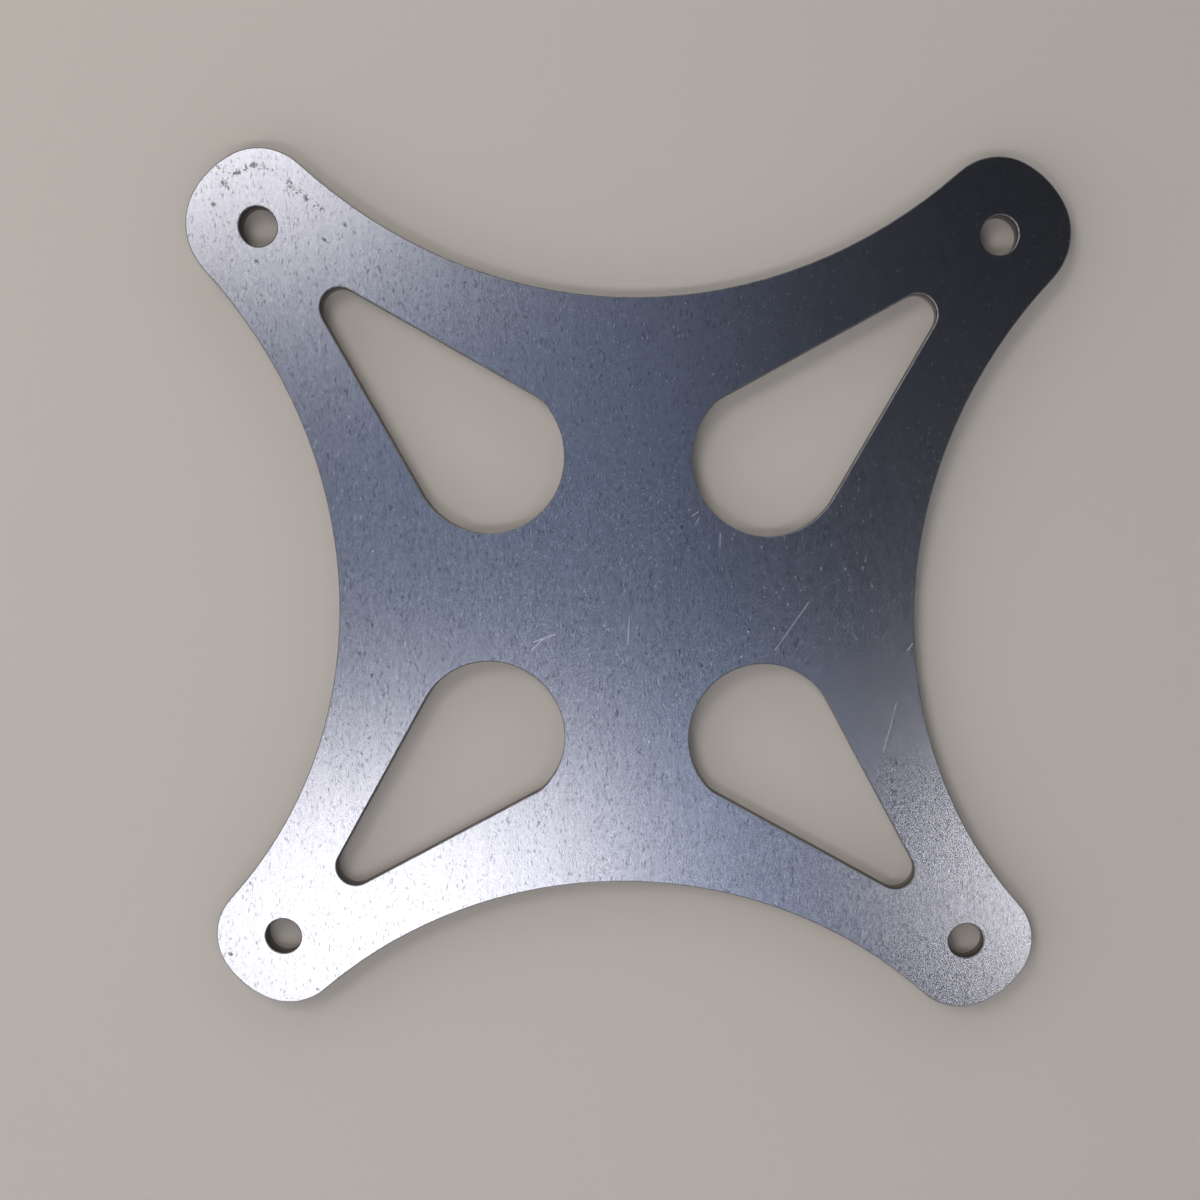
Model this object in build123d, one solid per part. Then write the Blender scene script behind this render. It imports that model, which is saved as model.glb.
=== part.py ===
from build123d import *

import os
from math import acos, atan2, degrees, sqrt

# A flat mounting plate cut in one piece from steel plate. Each of its four
# corner lobes has a bolt hole, its four sides are concave, and four teardrop
# windows leave a broad cross in the middle. All sizes are in millimetres.
# The origin is the middle of the underside. X and Y run along the rows of
# bolt holes, and Z points up through the thickness.

# Thickness of the plate, and the fine chamfer that breaks its cut edges
THICKNESS = 4.76
EDGE_BREAK = 0.2

# Bolt holes
HOLE_SPACING_X = 152.4
HOLE_SPACING_Y = 149.7
HOLE_DIAMETER = 7.94

# Corner lobes. Two shoulder arcs of one radius round each lobe, with centres
# a little off the bolt hole's own: the upper one meets the side arc above the
# plate, and the outer one meets the side arc beside it. A shallower arc
# between the shoulders closes the end of the lobe.
SHOULDER_RADIUS = 12.4
UPPER_SHOULDER_INSET = 0.75
UPPER_SHOULDER_RISE = 2.85
OUTER_SHOULDER_OUTSET = 2.4
LOBE_END_RADIUS = 19.85

# Concave sides: the width left between the middles of opposite side arcs
WAIST_X = 123.3
WAIST_Y = 123.7

# Windows. Each is a large root circle near the middle and a small tip circle
# towards the bolt hole, with straight flanks between them. Its axis runs from
# the root circle's centre to the bolt hole. A flank leaves the root circle at
# a blunt corner, which is at its own angle from the axis about the circle's
# centre, and meets the tip circle at a tangent. The blend rounds the corner.
WINDOW_ROOT_OFFSET = 29.66
WINDOW_ROOT_RADIUS = 16.12
WINDOW_TIP_TO_HOLE = 22.78
WINDOW_TIP_RADIUS = 4.22
WINDOW_BLEND_RADIUS = 6.0
UPPER_FLANK_ANGLE = 88.4
OUTER_FLANK_ANGLE = -77.2

# What follows is drawn for the lobe and window at +X +Y, then mirrored
HOLE_CENTRE = Vector(HOLE_SPACING_X / 2, HOLE_SPACING_Y / 2)


def polar(distance, angle):
    """A vector of that length, at that many degrees from +X."""
    return Vector(distance, 0).rotate(Axis.Z, angle)


def direction(vector):
    """The degrees of a vector from +X."""
    return degrees(atan2(vector.Y, vector.X))


def all_quadrants(shape):
    """The shape joined with its mirror images in the other quadrants."""
    half = shape + mirror(shape, about=Plane.YZ)
    return half + mirror(half, about=Plane.XZ)


def short_arc(centre, start, end):
    """The arc about a centre from start to end, the short way round."""
    towards_middle = ((start + end) * 0.5 - centre).normalized()
    return ThreePointArc(start, centre + towards_middle * (start - centre).length, end)


def side_radius(along, across, half_waist):
    """Radius of the side arc that is tangent to a shoulder arc.

    The shoulder's centre lies that far along from the middle of the side and
    that far across from the plate's centre line.
    """
    rise = across - half_waist
    return (along**2 + rise**2 - SHOULDER_RADIUS**2) / (2 * (SHOULDER_RADIUS + rise))


def lobe_end_centre(upper, outer):
    """Centre of the arc that is tangent to both shoulders of a lobe."""
    half_span = (outer - upper) * 0.5
    reach = LOBE_END_RADIUS - SHOULDER_RADIUS
    inward = half_span.normalized().rotate(Axis.Z, -90)
    return upper + half_span + inward * sqrt(reach**2 - half_span.length**2)


def quarter_outline():
    """A quarter of the solid plate, with its whole lobe and two half sides."""
    upper = HOLE_CENTRE + Vector(-UPPER_SHOULDER_INSET, UPPER_SHOULDER_RISE)
    outer = HOLE_CENTRE + Vector(OUTER_SHOULDER_OUTSET, 0)
    lobe_end = lobe_end_centre(upper, outer)

    side_middle_y = Vector(0, WAIST_Y / 2)
    side_centre_y = side_middle_y + Vector(0, side_radius(upper.X, upper.Y, WAIST_Y / 2))
    side_middle_x = Vector(WAIST_X / 2, 0)
    side_centre_x = side_middle_x + Vector(side_radius(outer.Y, outer.X, WAIST_X / 2), 0)

    side_to_upper = upper + (side_centre_y - upper).normalized() * SHOULDER_RADIUS
    upper_to_end = upper + (upper - lobe_end).normalized() * SHOULDER_RADIUS
    end_to_outer = outer + (outer - lobe_end).normalized() * SHOULDER_RADIUS
    outer_to_side = outer + (side_centre_x - outer).normalized() * SHOULDER_RADIUS

    edges = [
        Line((0, 0), side_middle_y),
        short_arc(side_centre_y, side_middle_y, side_to_upper),
        short_arc(upper, side_to_upper, upper_to_end),
        short_arc(lobe_end, upper_to_end, end_to_outer),
        short_arc(outer, end_to_outer, outer_to_side),
        short_arc(side_centre_x, outer_to_side, side_middle_x),
        Line(side_middle_x, (0, 0)),
    ]
    return make_face(edges)


def tip_touch(start, turn):
    """Where a line from start touches the tip circle.

    Both points are measured from the tip circle's centre. A turn of 1 or -1
    picks the touching point to the left or right of the way to start.
    """
    swing = degrees(acos(WINDOW_TIP_RADIUS / start.length))
    return polar(WINDOW_TIP_RADIUS, direction(start) + turn * swing)


def window():
    """One window's opening."""
    root = Vector(WINDOW_ROOT_OFFSET, WINDOW_ROOT_OFFSET)
    axis = (HOLE_CENTRE - root).normalized()
    tip = HOLE_CENTRE - axis * WINDOW_TIP_TO_HOLE

    upper_start = root + polar(WINDOW_ROOT_RADIUS, direction(axis) + UPPER_FLANK_ANGLE)
    outer_start = root + polar(WINDOW_ROOT_RADIUS, direction(axis) + OUTER_FLANK_ANGLE)
    upper_end = tip + tip_touch(upper_start - tip, -1)
    outer_end = tip + tip_touch(outer_start - tip, 1)

    edges = [
        ThreePointArc(upper_start, root - axis * WINDOW_ROOT_RADIUS, outer_start),
        Line(outer_start, outer_end),
        ThreePointArc(outer_end, tip + axis * WINDOW_TIP_RADIUS, upper_end),
        Line(upper_end, upper_start),
    ]
    opening = make_face(edges)
    root_corners = opening.vertices().sort_by_distance(root)[:2]
    return fillet(root_corners, WINDOW_BLEND_RADIUS)


def bolt_hole():
    """One bolt hole's opening."""
    return Pos(HOLE_CENTRE) * Circle(HOLE_DIAMETER / 2)


def mount_plate():
    """The finished plate, lying on its underside."""
    profile = all_quadrants(quarter_outline()) - all_quadrants(window() + bolt_hole())
    plate = extrude(profile, THICKNESS)
    flat_faces = plate.faces().filter_by(Axis.Z)
    return chamfer(flat_faces.edges(), EDGE_BREAK)


os.makedirs("parts", exist_ok=True)
export_step(mount_plate(), "parts/mount_plate.step")
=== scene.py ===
from math import pi, radians

import bpy
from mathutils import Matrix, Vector

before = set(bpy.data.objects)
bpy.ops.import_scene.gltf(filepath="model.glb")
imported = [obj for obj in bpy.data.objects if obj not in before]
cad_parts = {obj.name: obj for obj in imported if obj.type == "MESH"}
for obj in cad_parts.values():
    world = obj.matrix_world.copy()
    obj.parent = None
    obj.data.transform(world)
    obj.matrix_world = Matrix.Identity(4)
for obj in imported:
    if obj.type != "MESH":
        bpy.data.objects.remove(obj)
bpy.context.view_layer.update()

MM = 0.001
PLATE_THICKNESS = 4.76 * MM

# Camera, fitted to the photograph. Its focal length and shift are in pixels of the photograph.
PHOTO_SIZE = 1200
FOCAL_LENGTH = 1700
SHIFT_RIGHT = -61.5
SHIFT_UP = 271.0
SENSOR_WIDTH = 36.0
CAMERA_PLACE = (3.63 * MM, 16.84 * MM, 368.63 * MM + PLATE_THICKNESS)
CAMERA_TURN = (radians(-11.689), radians(-0.545), radians(0.550))
NEAREST_SEEN = 0.01
FARTHEST_SEEN = 100.0

# Softboxes overhead, facing straight down: name, middle (x, y), width, depth, brightness, colour.
LAMP_HEIGHT = 0.60
WARM_LIGHT = (1.0, 0.912, 0.813)
COOL_LIGHT = (0.518, 0.673, 1.0)
OVERHEAD_LAMPS = [
    ("key_near", (-0.162, -0.220), 0.263, 0.146, 6.00, WARM_LIGHT),
    ("key_far", (-0.313, 0.363), 0.361, 0.381, 4.05, WARM_LIGHT),
    ("key_right", (0.309, -0.186), 0.186, 0.109, 6.90, WARM_LIGHT),
    ("fill", (-0.102, -0.333), 0.273, 1.037, 0.352, COOL_LIGHT),
    ("fill_near", (-0.083, -0.249), 0.321, 0.342, 1.43, COOL_LIGHT),
]
# One softbox beyond the near left corner, aimed at the plate.
LOW_LAMP_PLACE = (-0.95, -0.95, 1.15)
LOW_LAMP_SIZE = 1.1
LOW_LAMP_BRIGHTNESS = 0.71

# The room's light: pale at the horizon and dark overhead, fading between these two heights
# on a unit sphere. It is palest on PALE_SIDE and weakest opposite.
HORIZON_LIGHT = 1.16
OVERHEAD_LIGHT = 0.001
HORIZON_FADE = (0.30, 0.65)
PALE_SIDE = (-0.8, 0.6, 0.0)
SIDE_LEVELS = (0.5, 1.3)

# Floor, which turns into the backdrop between two distances from the plate's middle.
FLOOR_COLOR = (0.62, 0.60, 0.58)
FLOOR_ROUGHNESS = 0.9
FLOOR_SPECULAR = 0.2
FLOOR_HALF_SIZE = 30.0
FLOOR_GAP = 0.02 * MM
BACKDROP_COLOR = (0.49, 0.465, 0.44)
BACKDROP_BLEND = (0.35, 1.1)

# Where the material changes: the upright part of the surface's direction at which a cut wall
# ends and a face begins, and the height at which the top begins.
CUT_ENDS = (0.30, 0.50)
FACE_BEGINS = (0.85, 0.95)
TOP_BEGINS = (2 * MM, 3 * MM)

# Cloudy noises of the steel, in the object's own space. Stretch is along X, Y and Z, and the
# offsets keep the noises apart.
NOISES = {
    "speckle": {"period_mm": 0.28, "roughness": 0.7, "offset": 1.3},
    "grain": {"period_mm": 0.29, "stretch": (1, 3.6, 3.6), "roughness": 0.6},
    "streaks": {"period_mm": 1.6, "stretch": (1, 40, 40), "detail": 1.0, "offset": 2.1},
    "clouds": {"period_mm": 34.0, "stretch": (1, 1.6, 1), "offset": 0.4},
    "dashes": {"period_mm": 0.42, "stretch": (1, 2.8, 2.8), "detail": 1.0, "offset": 5.9},
    "spots": {"period_mm": 0.50, "stretch": (1, 1.2, 1), "roughness": 0.65, "offset": 3.7},
    "striations": {"period_mm": 0.32, "stretch": (1, 1, 9), "roughness": 0.6, "offset": 7.2},
    "layers": {"period_mm": 1.3, "stretch": (9, 9, 1), "offset": 4.4},
}

# Rolled sheet
SHEET_PALE = (0.398, 0.426, 0.511)
SHEET_DULL = (0.308, 0.331, 0.405)
SHEET_ROUGHNESS = 0.262
# How far each noise moves the tone between dull and pale.
GRAIN_TONE = 0.70
SPECKLE_TONE = 0.30
STREAK_TONE = 0.16
CLOUD_TONE = 0.06
TONE_RANGE = (0.25, 0.75)
# How far each noise, and a mark, moves the roughness.
GRAIN_ROUGHNESS = 0.050
CLOUD_ROUGHNESS = 0.008
MARK_ROUGHNESS = 0.15
# Relief in thousandths of a millimetre: grain, and pebbling that is stronger at the front.
RELIEF_UNIT = 0.001 * MM
GRAIN_RELIEF = 2.0
PEBBLING_FRONT = 20.5
PEBBLING_BACK = 7.5
PEBBLING_FADE = (-70 * MM, -20 * MM)

# Marks on the sheet, and painted glints: noise levels between which they appear, strength and colour.
FLECK_LEVELS = (0.635, 0.68)
FLECK_STRENGTH = 0.50
FLECK_COLOR = (0.12, 0.13, 0.155)
# Painted glints: pale dots in the colour that stand in for sparkle, a painted highlight.
PAINTED_GLINT_LEVELS = (0.25, 0.20)
PAINTED_GLINT_STRENGTH = 0.20
BOW_LEVELS = (0.56, 0.62)
SPECK_LEVELS = (0.44, 0.54)
STAIN_STRENGTH = 0.75
STAIN_COLOR = (0.085, 0.075, 0.070)
SCRATCH_LEVELS = (0.36, 0.50)
SCRATCH_FAINTEST = 0.40
SCRATCH_STRENGTH = 0.60
# The colour of the pale scratches, and of the painted glints.
SCRATCH_AND_PAINTED_GLINT_COLOR = (0.76, 0.81, 0.92)

# Broken edges
RIM_COLOR = (0.22, 0.23, 0.25)
RIM_DARK = (0.13, 0.135, 0.15)
RIM_LEVELS = (0.40, 0.60)

# Cut walls, paler below the middle of the thickness.
CUT_DARK = (0.040, 0.034, 0.030)
CUT_PALE = (0.20, 0.17, 0.15)
CUT_METALLIC = 0.2
CUT_LOWER_HALF = (1.4 * MM, 3.4 * MM)
CUT_LOWER_TONE = 0.40
STRIATION_TONE = 0.35
LAYER_TONE = 0.60
CUT_TONE_RANGE = (0.42, 0.90)
CUT_ROUGHNESS = 0.42
STRIATION_ROUGHNESS = 0.20
STRIATION_RELIEF = 22.0
LAYER_RELIEF = 30.0

# Dark specks on the top face, in millimetres: start and half width. Each is a short stroke.
SPECK_RUN = (0.3, -0.3)
SPECKS = [
    ((-83.9, 86.3), 0.31),
    ((-82.8, 83.3), 0.62),
    ((-82.2, 82.4), 0.43),
    ((-79.9, 85.5), 0.50),
    ((-76.6, 86.8), 0.68),
    ((-74.2, 86.3), 0.50),
    ((-69.4, 83.2), 0.74),
    ((-68.4, 82.0), 0.62),
    ((-66.3, 80.5), 0.56),
    ((-85.2, 79.2), 0.50),
    ((-76.8, 68.1), 0.43),
    ((-62.8, 72.6), 0.56),
    ((-58.5, 75.6), 0.50),
    ((-76.1, 61.6), 0.37),
    ((-68.2, 62.0), 0.37),
    ((-88.3, -78.8), 0.50),
    ((-69.0, -87.0), 0.43),
    ((-83.5, -62.6), 0.50),
]
# The bow of fine specks above the far left hole, in millimetres.
BOW_HALF_WIDTH = 0.8
BOW = [
    (-83.5, 83.0),
    (-80.7, 84.9),
    (-77.2, 86.5),
    (-73.6, 86.1),
    (-70.4, 84.3),
    (-67.0, 81.2),
    (-62.8, 77.8),
]
# Pale scratches and scuffs on the top face, in millimetres: start, end, half width.
SCRATCHES = [
    ((38.8, -0.4), (31.9, -10.5), 0.09),
    ((58.5, -22.1), (56.2, -32.2), 0.08),
    ((-20.2, -9.3), (-15.5, -7.6), 0.11),
    ((-20.6, -10.9), (-18.0, -8.6), 0.09),
    ((0.4, -3.4), (0.2, -9.6), 0.09),
    ((19.7, 14.0), (19.6, 11.2), 0.11),
    ((13.6, 17.6), (14.9, 18.5), 0.11),
    ((14.4, 15.9), (15.2, 17.4), 0.10),
    ((60.6, -10.3), (61.5, -9.0), 0.14),
]
# A stroke fades out between these two multiples of its half width from its line.
STROKE_FADE = (0.35, 1.15)

# Places of a mix node's colour sockets.
MIX_FIRST = 6
MIX_SECOND = 7
MIX_RESULT = 2


# Camera and lamps
def add_object(name, data):
    made = bpy.data.objects.new(name, data)
    bpy.context.scene.collection.objects.link(made)
    return made


def add_camera():
    data = bpy.data.cameras.new("camera")
    data.sensor_width = SENSOR_WIDTH
    data.lens = SENSOR_WIDTH * FOCAL_LENGTH / PHOTO_SIZE
    data.shift_x = SHIFT_RIGHT / PHOTO_SIZE
    data.shift_y = SHIFT_UP / PHOTO_SIZE
    data.clip_start = NEAREST_SEEN
    data.clip_end = FARTHEST_SEEN
    camera = add_object("camera", data)
    camera.location = CAMERA_PLACE
    camera.rotation_euler = CAMERA_TURN
    bpy.context.scene.camera = camera


def add_softbox(name, place, width, depth, brightness, color, aim=None):
    """A rectangular lamp. Brightness 1 looks white; it faces straight down unless it has an aim."""
    data = bpy.data.lights.new(name, "AREA")
    data.shape = "RECTANGLE"
    data.size = width
    data.size_y = depth
    data.color = color
    data.energy = brightness * width * depth * pi
    lamp = add_object(name, data)
    lamp.location = place
    if aim:
        towards = Vector(aim) - Vector(place)
        lamp.rotation_euler = towards.to_track_quat("-Z", "Y").to_euler()


def add_lamps():
    height = PLATE_THICKNESS + LAMP_HEIGHT
    for name, middle, width, depth, brightness, color in OVERHEAD_LAMPS:
        add_softbox(name, (*middle, height), width, depth, brightness, color)
    size = LOW_LAMP_SIZE
    add_softbox("low_left", LOW_LAMP_PLACE, size, size, LOW_LAMP_BRIGHTNESS, WARM_LIGHT, aim=(0, 0, 0))


# Material building blocks
def put(tree, socket, value):
    """Sets a socket to a plain value, or links it if the value is another socket."""
    if isinstance(value, bpy.types.NodeSocket):
        tree.links.new(value, socket)
    elif isinstance(value, (tuple, list)) and socket.type == "RGBA":
        socket.default_value = (*value, 1.0)
    else:
        socket.default_value = value


def math(tree, operation, *values):
    node = tree.nodes.new("ShaderNodeMath")
    node.operation = operation
    for socket, value in zip(node.inputs, values):
        put(tree, socket, value)
    return node.outputs[0]


def vector_math(tree, operation, *values, output="Vector"):
    node = tree.nodes.new("ShaderNodeVectorMath")
    node.operation = operation
    for socket, value in zip(node.inputs, values):
        put(tree, socket, value)
    return node.outputs[output]


def separate(tree, vector):
    """The three numbers of a vector."""
    node = tree.nodes.new("ShaderNodeSeparateXYZ")
    put(tree, node.inputs[0], vector)
    return node.outputs


def remap(tree, value, low, high, new_low=0.0, new_high=1.0):
    """Runs smoothly from new_low at low to new_high at high, and stays there outside."""
    node = tree.nodes.new("ShaderNodeMapRange")
    node.interpolation_type = "SMOOTHSTEP"
    settings = {"Value": value, "From Min": low, "From Max": high, "To Min": new_low, "To Max": new_high}
    for name, setting in settings.items():
        put(tree, node.inputs[name], setting)
    return node.outputs["Result"]


def mix(tree, amount, first, second):
    """The colour first where the amount is 0, and second where it is 1."""
    node = tree.nodes.new("ShaderNodeMix")
    node.data_type = "RGBA"
    put(tree, node.inputs["Factor"], amount)
    put(tree, node.inputs[MIX_FIRST], first)
    put(tree, node.inputs[MIX_SECOND], second)
    return node.outputs[MIX_RESULT]


def fade(tree, amount, first, second):
    """The number first where the amount is 0, and second where it is 1."""
    kept = math(tree, "MULTIPLY", first, math(tree, "SUBTRACT", 1.0, amount))
    return math(tree, "MULTIPLY_ADD", second, amount, kept)


def vary(tree, value, cloudy, reach):
    """The value, raised and lowered by a noise around 0.5 that can move it over the whole reach."""
    half = reach / 2
    base = value - half if isinstance(value, float) else math(tree, "SUBTRACT", value, half)
    return math(tree, "MULTIPLY_ADD", cloudy, reach, base)


def noise(tree, place, period_mm, stretch=(1, 1, 1), detail=2.0, roughness=0.55, offset=0.0):
    """Cloudy noise around 0.5 whose blotches are about period_mm wide, longer where stretch is above 1."""
    shrink = tuple(1.0 / s for s in stretch)
    moved = vector_math(tree, "MULTIPLY_ADD", place, shrink, (offset, offset, offset))
    node = tree.nodes.new("ShaderNodeTexNoise")
    put(tree, node.inputs["Vector"], moved)
    put(tree, node.inputs["Scale"], 1.0 / (period_mm * MM))
    put(tree, node.inputs["Detail"], detail)
    put(tree, node.inputs["Roughness"], roughness)
    return node.outputs[0]


def stroke_group():
    """A node group that gives 1 on the line from Start to End and fades to 0 at about Half Width."""
    group = bpy.data.node_groups.new("stroke", "ShaderNodeTree")
    for name, kind in (("Place", "Vector"), ("Start", "Vector"), ("End", "Vector"), ("Half Width", "Float")):
        group.interface.new_socket(name, in_out="INPUT", socket_type="NodeSocket" + kind)
    group.interface.new_socket("Mask", in_out="OUTPUT", socket_type="NodeSocketFloat")
    given = group.nodes.new("NodeGroupInput").outputs
    result = group.nodes.new("NodeGroupOutput").inputs
    along = vector_math(group, "SUBTRACT", given["End"], given["Start"])
    reach = vector_math(group, "SUBTRACT", given["Place"], given["Start"])
    ahead = vector_math(group, "DOT_PRODUCT", reach, along, output="Value")
    square = vector_math(group, "DOT_PRODUCT", along, along, output="Value")
    share = math(group, "MINIMUM", math(group, "MAXIMUM", math(group, "DIVIDE", ahead, square), 0.0), 1.0)
    scale = group.nodes.new("ShaderNodeVectorMath")
    scale.operation = "SCALE"
    put(group, scale.inputs[0], along)
    put(group, scale.inputs["Scale"], share)
    distance = vector_math(group, "DISTANCE", reach, scale.outputs[0], output="Value")
    relative = math(group, "DIVIDE", distance, given["Half Width"])
    put(group, result["Mask"], remap(group, relative, *STROKE_FADE, 1.0, 0.0))
    return group


def strokes(tree, place, group, rows):
    """The masks of several strokes put together."""
    total = 0.0
    for start, end, half_width in rows:
        node = tree.nodes.new("ShaderNodeGroup")
        node.node_tree = group
        put(tree, node.inputs["Place"], place)
        put(tree, node.inputs["Start"], (start[0] * MM, start[1] * MM, 0.0))
        put(tree, node.inputs["End"], (end[0] * MM, end[1] * MM, 0.0))
        put(tree, node.inputs["Half Width"], half_width * MM)
        total = math(tree, "MAXIMUM", total, node.outputs[0])
    return total


# Steel
def bow_rows():
    return [(start, end, BOW_HALF_WIDTH) for start, end in zip(BOW, BOW[1:])]


def speck_rows():
    return [((x, y), (x + SPECK_RUN[0], y + SPECK_RUN[1]), half_width) for (x, y), half_width in SPECKS]


def handling_marks(tree, place, noises, on_top):
    """The masks of the dark specks and of the pale scratches on the top face."""
    flat_place = vector_math(tree, "MULTIPLY", place, (1.0, 1.0, 0.0))
    group = stroke_group()
    bow = strokes(tree, flat_place, group, bow_rows())
    bow = math(tree, "MULTIPLY", bow, remap(tree, noises["spots"], *BOW_LEVELS))
    specks = strokes(tree, flat_place, group, speck_rows())
    specks = math(tree, "MULTIPLY", specks, remap(tree, noises["spots"], *SPECK_LEVELS))
    stains = math(tree, "MULTIPLY", math(tree, "MAXIMUM", bow, specks), on_top)
    ragged = remap(tree, noises["speckle"], *SCRATCH_LEVELS, SCRATCH_FAINTEST, 1.0)
    scratches = math(tree, "MULTIPLY", strokes(tree, flat_place, group, SCRATCHES), ragged)
    scratches = math(tree, "MULTIPLY", scratches, on_top)
    return stains, scratches


def sheet_color(tree, noises, stains, scratches):
    """Grain along Y, fine speckle, faint long streaks and cloudy patches, with flecks, painted glints (pale
    dots, a painted highlight) and marks.
    """
    tone = math(tree, "MULTIPLY", noises["speckle"], SPECKLE_TONE)
    tone = math(tree, "MULTIPLY_ADD", noises["grain"], GRAIN_TONE, tone)
    tone = vary(tree, tone, noises["streaks"], STREAK_TONE)
    tone = vary(tree, tone, noises["clouds"], CLOUD_TONE)
    color = mix(tree, remap(tree, tone, *TONE_RANGE), SHEET_DULL, SHEET_PALE)
    coats = [
        (remap(tree, noises["dashes"], *FLECK_LEVELS), FLECK_STRENGTH, FLECK_COLOR),
        # Painted highlight: pale glint dots in the colour.
        (remap(tree, noises["dashes"], *PAINTED_GLINT_LEVELS), PAINTED_GLINT_STRENGTH, SCRATCH_AND_PAINTED_GLINT_COLOR),
        (stains, STAIN_STRENGTH, STAIN_COLOR),
        (scratches, SCRATCH_STRENGTH, SCRATCH_AND_PAINTED_GLINT_COLOR),
    ]
    for mask, strength, coat_color in coats:
        color = mix(tree, math(tree, "MULTIPLY", mask, strength), color, coat_color)
    return color


def sheet_roughness(tree, noises, stains, scratches):
    roughness = vary(tree, SHEET_ROUGHNESS, noises["grain"], GRAIN_ROUGHNESS)
    roughness = vary(tree, roughness, noises["clouds"], CLOUD_ROUGHNESS)
    marks = math(tree, "ADD", stains, scratches)
    return math(tree, "MULTIPLY_ADD", marks, MARK_ROUGHNESS, roughness)


def cut_color(tree, noises, height):
    """Fine upright lines and layers parallel to the faces, darker in the upper half."""
    lower = remap(tree, height, *CUT_LOWER_HALF, CUT_LOWER_TONE, 0.0)
    tone = math(tree, "MULTIPLY_ADD", noises["striations"], STRIATION_TONE, lower)
    tone = math(tree, "MULTIPLY_ADD", noises["layers"], LAYER_TONE, tone)
    return mix(tree, remap(tree, tone, *CUT_TONE_RANGE), CUT_DARK, CUT_PALE)


def relief(tree, noises, depth, on_cut):
    """The surface's direction with pebbling and grain on the faces and lines on the cut walls."""
    pebbling = remap(tree, depth, *PEBBLING_FADE, PEBBLING_FRONT, PEBBLING_BACK)
    face = math(tree, "MULTIPLY", noises["speckle"], pebbling)
    face = math(tree, "MULTIPLY_ADD", noises["grain"], GRAIN_RELIEF, face)
    cut = math(tree, "MULTIPLY", noises["layers"], LAYER_RELIEF)
    cut = math(tree, "MULTIPLY_ADD", noises["striations"], STRIATION_RELIEF, cut)
    bump = tree.nodes.new("ShaderNodeBump")
    bump.inputs["Strength"].default_value = 1.0
    bump.inputs["Distance"].default_value = RELIEF_UNIT
    put(tree, bump.inputs["Height"], fade(tree, on_cut, face, cut))
    return bump.outputs[0]


def steel():
    material = bpy.data.materials.new("steel")
    material.use_nodes = True
    tree = material.node_tree
    coordinates = tree.nodes.new("ShaderNodeTexCoord")
    place = coordinates.outputs["Object"]
    parts = separate(tree, place)
    upright = math(tree, "ABSOLUTE", separate(tree, coordinates.outputs["Normal"])["Z"])
    on_cut = remap(tree, upright, *CUT_ENDS, 1.0, 0.0)
    on_face = remap(tree, upright, *FACE_BEGINS)
    on_top = math(tree, "MULTIPLY", on_face, remap(tree, parts["Z"], *TOP_BEGINS))

    noises = {name: noise(tree, place, **settings) for name, settings in NOISES.items()}
    stains, scratches = handling_marks(tree, place, noises, on_top)
    face_color = sheet_color(tree, noises, stains, scratches)
    rim_color = mix(tree, remap(tree, noises["spots"], *RIM_LEVELS), RIM_DARK, RIM_COLOR)
    color = mix(tree, on_face, rim_color, face_color)
    color = mix(tree, on_cut, color, cut_color(tree, noises, parts["Z"]))
    face_roughness = sheet_roughness(tree, noises, stains, scratches)
    cut_roughness = math(tree, "MULTIPLY_ADD", noises["striations"], STRIATION_ROUGHNESS, CUT_ROUGHNESS)

    shader = tree.nodes["Principled BSDF"]
    put(tree, shader.inputs["Metallic"], math(tree, "MULTIPLY_ADD", on_cut, CUT_METALLIC - 1.0, 1.0))
    put(tree, shader.inputs["Base Color"], color)
    put(tree, shader.inputs["Roughness"], fade(tree, on_cut, face_roughness, cut_roughness))
    put(tree, shader.inputs["Normal"], relief(tree, noises, parts["Y"], on_cut))
    return material


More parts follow.
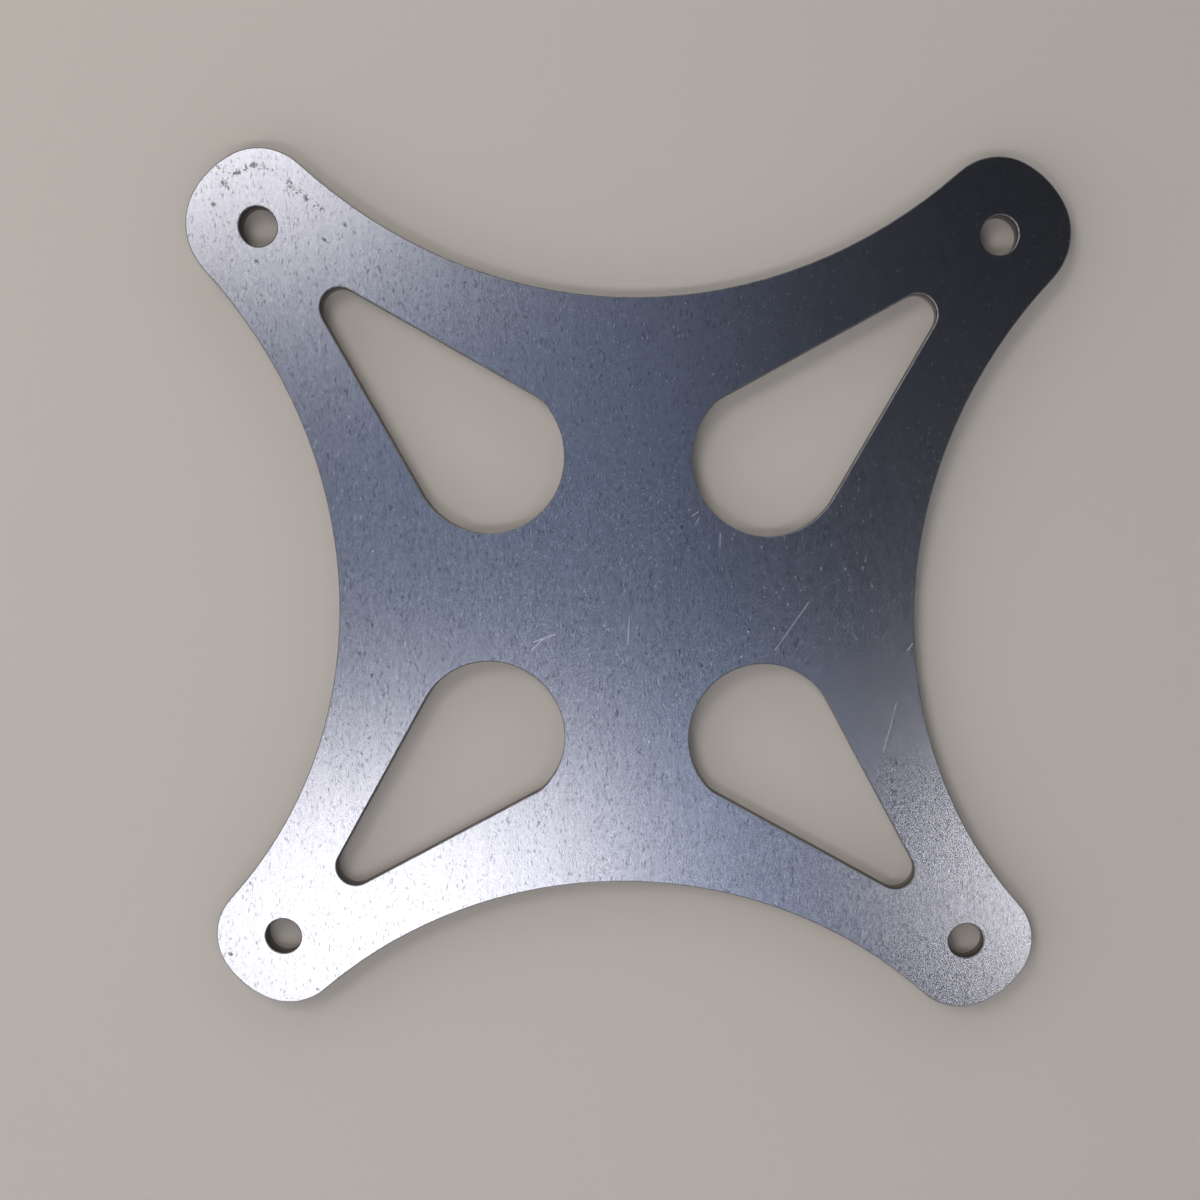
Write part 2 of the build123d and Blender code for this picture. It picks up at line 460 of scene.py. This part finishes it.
# Surroundings
def add_world():
    """The room's light, and the plain backdrop that the camera sees instead of it."""
    world = bpy.data.worlds.new("studio")
    bpy.context.scene.world = world
    world.use_nodes = True
    tree = world.node_tree
    direction = tree.nodes.new("ShaderNodeTexCoord").outputs["Generated"]
    rise = remap(tree, separate(tree, direction)["Z"], *HORIZON_FADE, 1.0, 0.0)
    side = vector_math(tree, "DOT_PRODUCT", direction, PALE_SIDE, output="Value")
    glow = math(tree, "MULTIPLY", rise, remap(tree, side, -1.0, 1.0, *SIDE_LEVELS))
    light = math(tree, "MULTIPLY_ADD", glow, HORIZON_LIGHT, OVERHEAD_LIGHT)
    seen = tree.nodes.new("ShaderNodeLightPath").outputs["Is Camera Ray"]
    put(tree, tree.nodes["Background"].inputs["Color"], mix(tree, seen, light, BACKDROP_COLOR))


def floor_material():
    """A plain matt floor that runs out into the backdrop's colour away from the plate."""
    material = bpy.data.materials.new("floor")
    material.use_nodes = True
    tree = material.node_tree
    shader = tree.nodes["Principled BSDF"]
    put(tree, shader.inputs["Base Color"], FLOOR_COLOR)
    put(tree, shader.inputs["Roughness"], FLOOR_ROUGHNESS)
    put(tree, shader.inputs["Specular IOR Level"], FLOOR_SPECULAR)
    place = tree.nodes.new("ShaderNodeTexCoord").outputs["Object"]
    distance = vector_math(tree, "LENGTH", place, output="Value")
    seen = tree.nodes.new("ShaderNodeLightPath").outputs["Is Camera Ray"]
    plain = tree.nodes.new("ShaderNodeEmission")
    put(tree, plain.inputs["Color"], BACKDROP_COLOR)
    blend = tree.nodes.new("ShaderNodeMixShader")
    put(tree, blend.inputs[0], math(tree, "MULTIPLY", seen, remap(tree, distance, *BACKDROP_BLEND)))
    put(tree, blend.inputs[1], shader.outputs[0])
    put(tree, blend.inputs[2], plain.outputs[0])
    put(tree, tree.nodes["Material Output"].inputs["Surface"], blend.outputs[0])
    return material


def add_floor():
    mesh = bpy.data.meshes.new("floor")
    far = FLOOR_HALF_SIZE
    corners = [(x, y, -FLOOR_GAP) for x, y in ((-far, -far), (far, -far), (far, far), (-far, far))]
    mesh.from_pydata(corners, [], [(0, 1, 2, 3)])
    mesh.materials.append(floor_material())
    add_object("floor", mesh)


bpy.context.scene.view_settings.view_transform = "Standard"
add_camera()
add_lamps()
add_world()
add_floor()

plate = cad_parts["mount_plate"]
finish = steel()
for material_slot in plate.material_slots:
    material_slot.material = finish
